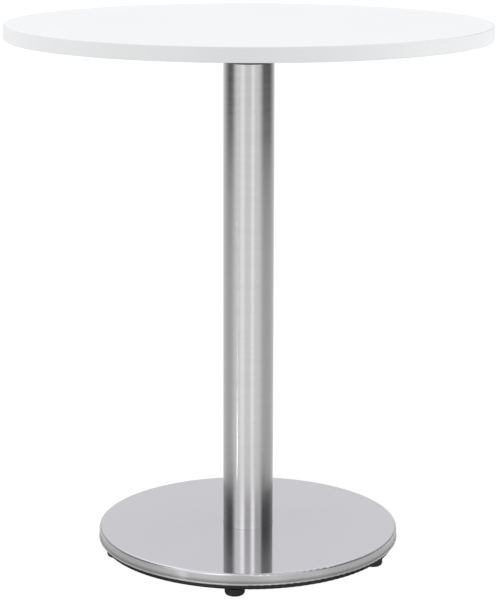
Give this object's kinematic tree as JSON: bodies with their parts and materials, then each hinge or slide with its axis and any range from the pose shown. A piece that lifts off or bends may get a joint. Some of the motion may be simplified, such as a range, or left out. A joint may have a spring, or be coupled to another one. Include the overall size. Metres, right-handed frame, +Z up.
{
  "type": "bistro table",
  "caption": "Round pedestal table with a banded white top, a steel tube column clamped by a tie rod, and a weighted round base on screw-adjusted feet.",
  "frame": {"origin": "on the floor, on the axis of the column", "axes": "+Z up along the column, -Y towards the front, +X to the right seen from the front"},
  "size_m": [0.68, 0.68, 0.765],
  "materials": {
    "white_laminate": "satin white laminate",
    "edge_band": "satin white plastic band",
    "particle_board": "raw particle board",
    "black_powder_coat": "fine textured black powder coat",
    "brushed_stainless": "satin stainless, ground round the tube",
    "polished_stainless": "polished spun stainless",
    "zinc_steel": "bright zinc plate",
    "cast_iron": "primed casting",
    "black_rubber": "moulded black rubber"
  },
  "bodies": {
    "root": {"tabletop_core": "particle_board", "top_laminate": "white_laminate", "backing_laminate": "white_laminate", "edge_band": "edge_band", "top_spider": "black_powder_coat", "spider_screws": "zinc_steel", "column_tube": "brushed_stainless", "column_foot_plug": "zinc_steel", "tie_rod": "zinc_steel", "tie_rod_top_nut": "zinc_steel", "tie_rod_bottom_nut": "zinc_steel", "top_flat_washer": "zinc_steel", "top_spring_washer": "zinc_steel", "bottom_flat_washer": "zinc_steel", "base_cover": "polished_stainless", "ballast_disc": "cast_iron", "base_pan": "black_powder_coat", "pan_screws": "zinc_steel", "foot_bosses": "zinc_steel"},
    "pad_1": {"foot_pad_1": "black_rubber"},
    "stud_1": {"foot_stud_1": "zinc_steel"},
    "pad_2": {"foot_pad_2": "black_rubber"},
    "stud_2": {"foot_stud_2": "zinc_steel"},
    "pad_3": {"foot_pad_3": "black_rubber"},
    "stud_3": {"foot_stud_3": "zinc_steel"},
    "pad_4": {"foot_pad_4": "black_rubber"},
    "stud_4": {"foot_stud_4": "zinc_steel"},
    "pad_5": {"foot_pad_5": "black_rubber"},
    "stud_5": {"foot_stud_5": "zinc_steel"}
  },
  "joints": [
    {"name": "foot_1_travel", "type": "slide", "parent": "root", "child": "pad_1", "axis": [0, 0, 1], "range_m": [-0.0075, 0.00125]},
    {"name": "foot_1_turn", "type": "hinge", "parent": "pad_1", "child": "stud_1", "pos_m": [-0.01787, -0.19267, 0.013], "axis": [0, 0, 1], "range_deg": [-2162, 362]},
    {"name": "foot_2_travel", "type": "slide", "parent": "root", "child": "pad_2", "axis": [0, 0, 1], "range_m": [-0.0075, 0.00125]},
    {"name": "foot_2_turn", "type": "hinge", "parent": "pad_2", "child": "stud_2", "pos_m": [0.17772, -0.07654, 0.013], "axis": [0, 0, 1], "range_deg": [-2162, 362]},
    {"name": "foot_3_travel", "type": "slide", "parent": "root", "child": "pad_3", "axis": [0, 0, 1], "range_m": [-0.0075, 0.00125]},
    {"name": "foot_3_turn", "type": "hinge", "parent": "pad_3", "child": "stud_3", "pos_m": [0.12771, 0.14537, 0.013], "axis": [0, 0, 1], "range_deg": [-2162, 362]},
    {"name": "foot_4_travel", "type": "slide", "parent": "root", "child": "pad_4", "axis": [0, 0, 1], "range_m": [-0.0075, 0.00125]},
    {"name": "foot_4_turn", "type": "hinge", "parent": "pad_4", "child": "stud_4", "pos_m": [-0.09879, 0.16638, 0.013], "axis": [0, 0, 1], "range_deg": [-2162, 362]},
    {"name": "foot_5_travel", "type": "slide", "parent": "root", "child": "pad_5", "axis": [0, 0, 1], "range_m": [-0.0075, 0.00125]},
    {"name": "foot_5_turn", "type": "hinge", "parent": "pad_5", "child": "stud_5", "pos_m": [-0.18877, -0.04254, 0.013], "axis": [0, 0, 1], "range_deg": [-2162, 362]}
  ],
  "couplings": [
    {"joint": "foot_1_turn", "follows": "foot_1_travel", "rad_per_m": 5026.5},
    {"joint": "foot_2_turn", "follows": "foot_2_travel", "rad_per_m": 5026.5},
    {"joint": "foot_3_turn", "follows": "foot_3_travel", "rad_per_m": 5026.5},
    {"joint": "foot_4_turn", "follows": "foot_4_travel", "rad_per_m": 5026.5},
    {"joint": "foot_5_turn", "follows": "foot_5_travel", "rad_per_m": 5026.5}
  ]
}
